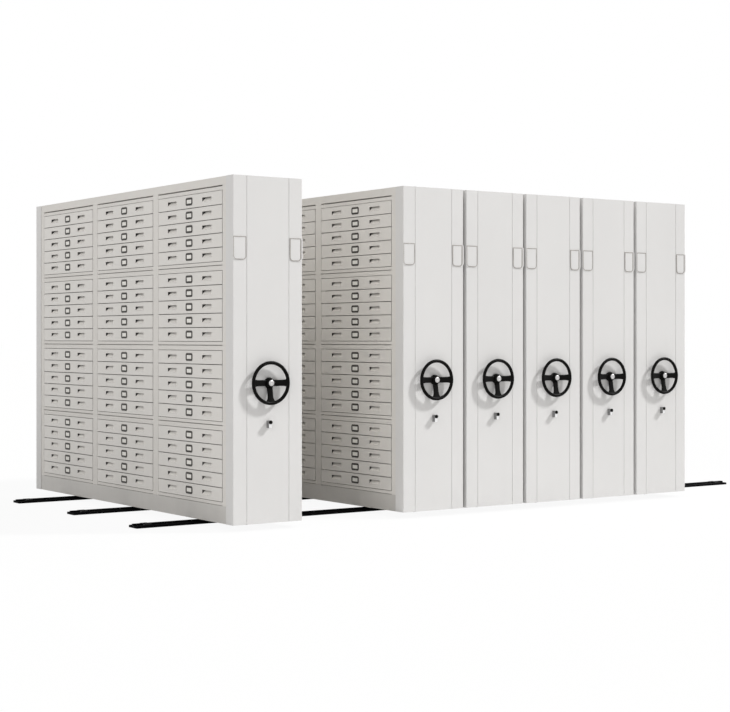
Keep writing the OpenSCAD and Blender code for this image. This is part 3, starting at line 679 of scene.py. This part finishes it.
class SHELVING_OT_coats(bpy.types.Operator):
    """Coats the solids that stay, and the sliding drawers without their plain label plates"""

    bl_idname = "shelving.coats"
    bl_label = "Coats"

    def execute(self, context):
        colours = context.scene.shelving_finishes
        cabinet, panel, track = tuple(colours.cabinet), tuple(colours.panel), tuple(colours.track)
        body, steel = cabinet_paint("cabinet coat", cabinet), turned_steel("turned steel")
        dress("tracks", track_finish(track))
        dress("end_stops", moulded_plastic("stop coat", (0.020, 0.020, 0.021), 0.5, 300.0))
        fronts = {}
        for i in CARRIAGES:
            wheel, lock = wheel_centre(i), lock_centre(i)
            bays = [bay_middle(i, bay) for bay in range(BAYS)]
            fronts[i] = drawer_finish(f"drawer coat {i}", cabinet, front_x(i), bays)
            dress(f"cabinet_{i}", body)
            dress(f"drawers_{i}", fronts[i])
            dress(f"end_panels_{i}", panel_paint(f"panel coat {i}", panel, wheel, lock))
            # The skirts and deck take the cabinet's colour at 0.8 of its brightness
            dress(f"undercarriage_{i}", undercarriage_finish(
                f"undercarriage coat {i}", shade(cabinet, 0.80), (wheel.x, wheel.y, 0.0)))
            dress(f"drive_axle_{i}", steel)
            dress(f"idle_wheels_{i}", steel)
        behind_plates = front_x(1) + 0.001
        for t in SLIDING:
            name = f"sliding_drawer_{t}"
            mesh = part_of_node(name, "x", behind_plates, f"{name} body")
            piece = new_piece(f"{name}_body", mesh, name, fronts[1], smooth=None)
            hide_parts(name)
        return {"FINISHED"}


class SHELVING_OT_labels(bpy.types.Operator):
    """Makes the label frames and the blank cards in them"""

    bl_idname = "shelving.labels"
    bl_label = "Label frames and cards"

    def execute(self, context):
        sizes, colours = context.scene.shelving_furniture, context.scene.shelving_finishes
        frame_thickness, sunk = 0.0038, 0.0001
        # A bar laps over the card by the covered share of its width
        card_thickness, card_gap, covered = 0.0006, 0.0002, 0.2
        trim = moulded_plastic("label frame plastic", tuple(colours.trim), 0.45)
        paper = card_paper()
        frames, plates = frame_group(), plate_group()
        around = 2 * (1 - covered) * sizes.label_bar
        card = (card_thickness, sizes.label_width - around, sizes.label_height - around)
        for body, middles in faces_by_body().items():
            on_face = [m - Vector((frame_thickness / 2 - sunk, 0, 0)) for m in middles]
            mesh = settled("label seeds", on_face, frames, {
                "Width": sizes.label_width, "Height": sizes.label_height, "Bar": sizes.label_bar,
                "Thickness": frame_thickness, "Corner": sizes.label_corner, "Material": trim})
            framed = new_piece(f"label_frames_{body}", mesh, body, smooth=40.0)
            if body.startswith("carriage"):
                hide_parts("label_holders_" + body.split("_")[-1])
            in_frame = [m - Vector((card_thickness / 2 + card_gap, 0, 0)) for m in middles]
            mesh = settled("card seeds", in_frame, plates, {"Size": card, "Tilt": 0.0, "Material": paper})
            new_piece(f"index_cards_{body}", mesh, body, smooth=None)
        return {"FINISHED"}


class SHELVING_OT_pulls(bpy.types.Operator):
    """Makes the slanting flap behind each finger pull's opening"""

    bl_idname = "shelving.pulls"
    bl_label = "Finger pulls"

    def execute(self, context):
        sizes, colours = context.scene.shelving_furniture, context.scene.shelving_finishes
        sheet, sheet_gap, foot_out, foot_gap, runs_on = 0.0012, 0.0001, 0.001, 0.002, 0.010
        # Painted light: the flaps take the cabinet's colour made 1.32 times lighter, standing in for the
        # light that falls on them through the openings
        paint = cabinet_paint("flap coat", shade(tuple(colours.cabinet), 1.32), 0.0)
        plates = plate_group()
        rise, run = sizes.pull_height - foot_gap, sizes.pull_depth + foot_out
        length, lean = math.hypot(rise, run) + runs_on, math.atan2(run, rise)
        along = Vector((math.sin(lean), 0, math.cos(lean)))
        under = Vector((math.cos(lean), 0, -math.sin(lean)))
        shift = along * (length + foot_gap) / 2 - under * (sheet / 2 + sheet_gap)
        for body, middles in faces_by_body().items():
            places = [m + Vector((-foot_out, side * sizes.pull_offset, -sizes.pull_height / 2)) + shift
                      for m in middles for side in (-1, 1)]
            mesh = settled("flap seeds", places, plates, {
                "Size": (sheet, sizes.pull_width, length - foot_gap), "Tilt": lean, "Material": paint})
            new_piece(f"pull_flaps_{body}", mesh, body, smooth=None)
        return {"FINISHED"}


class SHELVING_OT_grips(bpy.types.Operator):
    """Makes the edge grips: a rim with rounded lower corners and the pad inside it"""

    bl_idname = "shelving.grips"
    bl_label = "Edge grips"

    # Each section is a row of (inset from the outline, distance from the panel)
    rim_section = ((0.0, 0.0006), (0.0, 0.0036), (0.0009, 0.0045), (0.0051, 0.0045), (0.0060, 0.0036),
                   (0.0060, 0.0006))
    pad_section = ((0.0062, 0.0008), (0.0062, 0.0026), (0.0110, 0.0032), (0.0180, 0.0036))

    def outline(self, inset, side):
        """Points of a grip's outline from its top outer corner, made smaller all round by inset."""
        width, height, radius, cover, steps = 0.1012, 0.157, 0.026, 0.0002, 8
        # The left grip laps over the panel's edge, and the right one stands in from it
        outer = (-0.0015, 0.0100)[side]
        left, right, top, bottom = outer + inset, width - inset, cover - inset, inset - height - cover
        r = radius - inset
        points = [(left, top), (right, top)]
        for x, z, start in ((right - r, bottom + r, 0.0), (left + r, bottom + r, -math.pi / 2)):
            for k in range(steps + 1):
                angle = start - math.pi / 2 * k / steps
                points.append((x + r * math.cos(angle), z + r * math.sin(angle)))
        return points

    def both_sides(self, shape, i, section, closed):
        """Draws a section along the outlines of a carriage's two grips, closed where it is a ring."""
        panel_y = wheel_centre(i).y
        for side, edge, inwards in ((0, carriage_left(i), 1), (1, carriage_left(i) + CARRIAGE_WIDTH, -1)):
            rings = [[(edge + inwards * x, panel_y - off, GRIP_TOP + z) for x, z in self.outline(inset, side)]
                     for inset, off in section]
            solid_from_rings(shape, rings, closed)

    def execute(self, context):
        colours = context.scene.shelving_finishes
        rim_finish = moulded_plastic("grip rim", shade(tuple(colours.trim), 5), 0.5)
        pad_finish = cabinet_paint("grip pad", tuple(colours.panel), 0.0)
        for i in CARRIAGES:
            rims = mesh_from("grip rims", self.both_sides, i, self.rim_section, True)
            pads = mesh_from("grip pads", self.both_sides, i, self.pad_section, False)
            new_piece(f"grip_rims_{i}", rims, f"carriage_{i}", rim_finish)
            new_piece(f"grip_pads_{i}", pads, f"carriage_{i}", pad_finish)
        return {"FINISHED"}


class SHELVING_OT_handwheels(bpy.types.Operator):
    """Makes the handwheels: rim, three spokes, hub and cap, on the shaft and sprocket of the solids"""

    bl_idname = "shelving.handwheels"
    bl_label = "Handwheels"

    # Along a spoke: the distance from the axis, the share of the spoke's width, and the thickness
    stations = ((0.018, 1.10, 0.015), (0.034, 1.02, 0.014), (0.060, 0.99, 0.013), (0.085, 0.99, 0.0125),
                (0.106, 1.03, 0.0125), (0.120, 1.14, 0.014), (0.130, 1.36, 0.015))

    def rim(self, shape, sizes, centre, reach):
        """The round rim."""
        around, across = 96, 16
        minor = sizes.rim / 2
        rings = []
        for turn in turns(around):
            out = Vector((math.cos(turn), 0, math.sin(turn)))
            rings.append([centre + out * (reach + minor * math.cos(a))
                          + Vector((0, minor * math.sin(a) - sizes.stand_off, 0)) for a in turns(across)])
        solid_from_rings(shape, rings, closed=True)

    def spoke(self, shape, sizes, centre, reach, heading):
        """One spoke, dished towards the panel at its root; the lower one widens more near the rim."""
        flare_from, flare, edge_share = 0.100, 14, 0.36
        out = Vector((math.cos(heading), 0, math.sin(heading)))
        side = Vector((-math.sin(heading), 0, math.cos(heading)))
        rings = []
        for radius, widen, thick in self.stations:
            if heading < 0 and radius > flare_from:
                widen *= 1 + (radius - flare_from) * flare
            off = sizes.stand_off - sizes.dish * (1 - radius / reach)
            rings.append([centre + out * radius + side * u + Vector((0, v - off, 0))
                          for u, v in rounded_section(sizes.spoke * widen, thick, thick * edge_share)])
        solid_from_rings(shape, rings)

    def moulding(self, shape, sizes, centre):
        """Rim, spokes and hub, moulded in one."""
        reach = (sizes.diameter - sizes.rim) / 2
        self.rim(shape, sizes, centre, reach)
        for heading in (0.0, math.pi, -math.pi / 2):
            self.spoke(shape, sizes, centre, reach, heading)
        nose = sizes.cap_off - 0.005
        lathe(shape, ((0, 0.0085), (0.035, 0.0085), (0.0375, 0.0105), (0.0380, 0.014), (0.0355, 0.026),
                      (0.0310, 0.036), (0.0285, nose - 0.003), (0.0262, nose - 0.0008), (0.0240, nose),
                      (0, nose)), 48, centre)

    def cap(self, shape, sizes, centre):
        """The plated cap in the hub, with a shallow dimple."""
        face = sizes.cap_off
        base = face - 0.0047
        lathe(shape, ((0, base), (0.0205, base), (0.0209, base + 0.0005), (0.0209, base + 0.0014),
                      (0.0200, base + 0.0028), (0.0150, base + 0.0043), (0.0080, face),
                      (0.0062, face - 0.0001), (0.0050, face - 0.0009), (0, face - 0.0011)), 40, centre)

    def execute(self, context):
        sizes, colours = context.scene.shelving_handwheel, context.scene.shelving_finishes
        black = moulded_plastic("handwheel plastic", tuple(colours.black), 0.40, gloss=0.06)
        bright = bright_metal("cap plating", (0.60, 0.59, 0.585), 0.34)
        steel = turned_steel("shaft steel")
        # The solids that reach further back than this are the shaft and its sprocket
        past_wheel = 0.030
        for i in CARRIAGES:
            centre, body = wheel_centre(i), f"handwheel_{i}"
            moulded = mesh_from("handwheel moulding", self.moulding, sizes, centre)
            domed = mesh_from("handwheel cap", self.cap, sizes, centre)
            inside = part_of_node(body, "y", centre.y + past_wheel, "handwheel drive")
            wheel = new_piece(f"handwheel_moulding_{i}", moulded, body, black, 50.0)
            new_piece(f"handwheel_cap_{i}", domed, body, bright, 50.0)
            drive = new_piece(f"handwheel_drive_{i}", inside, body, steel, 30.0)
            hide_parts(body)
            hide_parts(body)
        return {"FINISHED"}


class SHELVING_OT_locks(bpy.types.Operator):
    """Makes the locks' knobs and spindles, with the cams of the solids"""

    bl_idname = "shelving.locks"
    bl_label = "Locks"

    def knob(self, shape, centre):
        """A round knob with a bar across its face, whose edges are rounded."""
        lathe(shape, ((0, 0.0322), (0.0120, 0.0322), (0.0129, 0.0330), (0.0130, 0.0380), (0.0124, 0.0394),
                      (0.0112, 0.0400), (0, 0.0400)), 36, centre)
        bar_width, bar_length, edge = 0.0050, 0.0240, 0.0010
        rings = []
        for inset, off in ((0.0, 0.0395), (0.0, 0.0428), (0.0006, 0.0436), (0.0014, 0.0440)):
            section = rounded_section(bar_width - 2 * inset, bar_length - 2 * inset, edge)
            rings.append([centre + Vector((u, -off, w)) for u, w in section])
        solid_from_rings(shape, rings)

    def execute(self, context):
        colours = context.scene.shelving_finishes
        black = moulded_plastic("lock plastic", shade(tuple(colours.black), 0.8), 0.32)
        bright = bright_metal("spindle plating", (0.80, 0.80, 0.80), 0.22)
        # The solids that reach further back than this are the spindle and its cam
        past_knob = 0.010
        for i in CARRIAGES:
            centre, body = lock_centre(i), f"lock_{i}"
            turned = mesh_from("lock knob", self.knob, centre)
            inside = part_of_node(body, "y", centre.y + past_knob, "lock spindle and cam")
            knob = new_piece(f"lock_knob_{i}", turned, body, black, 50.0)
            spindle = new_piece(f"lock_spindle_{i}", inside, body, bright, 30.0)
            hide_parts(body)
            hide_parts(body)
        return {"FINISHED"}


class SHELVING_OT_screws(bpy.types.Operator):
    """Makes the countersunk anchor screws of the tracks"""

    bl_idname = "shelving.screws"
    bl_label = "Anchor screws"

    def head(self, shape, sides):
        """A countersunk head with a six-sided socket, its top at z = 0."""
        def circle(radius, z):
            return [Vector((radius * math.cos(turn), radius * math.sin(turn), z)) for turn in turns(sides)]

        def hexagon(radius, z):
            points = []
            for turn in turns(sides):
                to_flat = turn % (math.pi / 3) - math.pi / 6
                out = radius * math.cos(math.pi / 6) / math.cos(to_flat)
                points.append(Vector((out * math.cos(turn), out * math.sin(turn), z)))
            return points

        solid_from_rings(shape, [circle(0.0050, -0.0060), circle(0.0050, -0.0028), circle(0.0079, -0.0004),
                                 circle(0.0075, 0.0), hexagon(0.0042, 0.0), hexagon(0.0040, -0.0024)])

    def execute(self, context):
        sides = context.scene.shelving_furniture.screw_sides
        steel = bright_metal("anchor steel", (0.10, 0.10, 0.105), 0.34)
        screw = bpy.data.objects.new("screw pattern", mesh_from("screw pattern", self.head, sides))
        low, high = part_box("tracks")
        end, stations, aside, sunk = 0.240, 6, 0.042, 0.0002
        step = (high.x - low.x - 2 * end) / (stations - 1)
        places = [(low.x + end + k * step, bay_middle(1, bay) + side * aside, TRACK_BASE - sunk)
                  for bay in range(BAYS) for k in range(stations) for side in (-1, 1)]
        mesh = settled("screw seeds", places, screw_group(screw), {"Seed": 4, "Material": steel})
        new_piece("anchor_screws", mesh, "tracks", smooth=30.0)
        bpy.data.objects.remove(screw)
        return {"FINISHED"}


class SHELVING_OT_stage(bpy.types.Operator):
    """Makes the floor, the lights and the camera"""

    bl_idname = "shelving.stage"
    bl_label = "Stage"

    def seen_white(self, tree, shader, white, amount):
        """Mixes in plain white for the camera and for what gloss and glass reflect of it."""
        path = tree.node("ShaderNodeLightPath").outputs
        camera, gloss, glass = (Number(tree, path[f"Is {ray} Ray"])
                                for ray in ("Camera", "Glossy", "Transmission"))
        seen = camera.either(gloss).either(glass)
        return tree.node("ShaderNodeMixShader", None, {0: seen * amount, 1: shader, 2: white}).outputs[0]

    def floor(self, context, shadow):
        """A pale floor that looks white, with the row's shadow faint on it."""
        bpy.ops.mesh.primitive_plane_add(size=400)
        floor = context.object
        floor.name = "floor"
        coat = bpy.data.materials.new("floor")
        coat.use_nodes = True
        tree = Tree(coat.node_tree)
        tree.tree.nodes.clear()
        cloud = tree.number("ShaderNodeTexNoise", None, {"Scale": 0.6, "Detail": 3.0})
        pale = tree.mix(cloud, grey(0.90), grey(0.94))
        matt = tree.node("ShaderNodeBsdfDiffuse", None, {"Color": pale}).outputs[0]
        white = tree.node("ShaderNodeEmission", None, {"Color": (1, 1, 1, 1), "Strength": 1.0}).outputs[0]
        look = self.seen_white(tree, matt, white, 0.93 if shadow else 1.0)
        tree.node("ShaderNodeOutputMaterial", None, {"Surface": look})
        floor.data.materials.append(coat)

    def sky(self, strength):
        """An even light from all round that looks white."""
        world = bpy.data.worlds.new("studio")
        world.use_nodes = True
        tree = Tree(world.node_tree)
        tree.tree.nodes.clear()
        warm = tree.node("ShaderNodeBackground", None, {"Color": (1, 0.98, 0.96, 1), "Strength": strength})
        white = tree.node("ShaderNodeBackground", None, {"Color": (1, 1, 1, 1), "Strength": 1.0})
        look = self.seen_white(tree, warm.outputs[0], white.outputs[0], 1.0)
        tree.node("ShaderNodeOutputWorld", None, {"Surface": look})
        return world

    def lamp(self, scene, name, towards, strength, angle):
        """A lamp far away that shines in one direction."""
        light = bpy.data.lights.new(name, "SUN")
        light.energy, light.angle = strength, angle
        lamp = bpy.data.objects.new(name, light)
        lamp.rotation_euler = Vector(towards).to_track_quat("-Z", "Y").to_euler()
        scene.collection.objects.link(lamp)

    def camera(self, scene):
        """The photograph's view, placed from the lower left corner of the first end panel."""
        lens, sensor, shift = 79.25, 36.0, -0.02514
        from_corner, heading = Vector((-5.44484, -9.35685, 1.26346)), -34.89
        camera = bpy.data.cameras.new("camera")
        camera.lens, camera.sensor_width, camera.shift_y = lens, sensor, shift
        camera.clip_end = 500
        view = bpy.data.objects.new("camera", camera)
        view.location = Vector((carriage_left(1), wheel_centre(1).y, PANEL_FOOT)) + from_corner
        view.rotation_euler = (math.radians(90), 0, math.radians(heading))
        scene.collection.objects.link(view)
        scene.camera = view

    def execute(self, context):
        stage, scene = context.scene.shelving_stage, context.scene
        self.floor(context, stage.shadow_on_floor)
        scene.world = self.sky(stage.sky)
        self.lamp(scene, "key", (-0.65, 0.37, -0.66), stage.key, stage.soft)
        self.lamp(scene, "fill", (0.86, 0.38, -0.30), stage.fill, math.radians(60))
        self.lamp(scene, "rear", (-0.78, -0.28, -0.56), stage.rear, math.radians(40))
        self.camera(scene)
        scene.view_settings.view_transform = "Standard"
        return {"FINISHED"}


class SHELVING_PT_panel(bpy.types.Panel):
    """Lists the sizes, the colours and the makers"""

    bl_idname = "SHELVING_PT_panel"
    bl_label = "Compact mobile shelving"
    bl_space_type = "VIEW_3D"
    bl_region_type = "UI"
    bl_category = "Shelving"

    def draw(self, context):
        for group in GROUPS:
            box = self.layout.box()
            settings = getattr(context.scene, group)
            for name in settings.__annotations__:
                box.prop(settings, name)
        for maker in MAKERS:
            self.layout.operator(maker.bl_idname)


GROUPS = {
    "shelving_finishes": ShelvingFinishes,
    "shelving_furniture": ShelvingFurniture,
    "shelving_handwheel": ShelvingHandwheel,
    "shelving_stage": ShelvingStage,
}
MAKERS = (
    SHELVING_OT_stage, SHELVING_OT_coats, SHELVING_OT_labels, SHELVING_OT_pulls, SHELVING_OT_grips,
    SHELVING_OT_handwheels, SHELVING_OT_locks, SHELVING_OT_screws,
)


def register():
    for name, group in GROUPS.items():
        bpy.utils.register_class(group)
        setattr(bpy.types.Scene, name, PointerProperty(type=group))
    for maker in MAKERS:
        bpy.utils.register_class(maker)
    bpy.utils.register_class(SHELVING_PT_panel)


def unregister():
    bpy.utils.unregister_class(SHELVING_PT_panel)
    for maker in reversed(MAKERS):
        bpy.utils.unregister_class(maker)
    for name, group in reversed(GROUPS.items()):
        delattr(bpy.types.Scene, name)
        bpy.utils.unregister_class(group)


def main():
    register()
    for maker in MAKERS:
        area, action = maker.bl_idname.split(".")
        getattr(getattr(bpy.ops, area), action)()


if __name__ == "__main__":
    main()
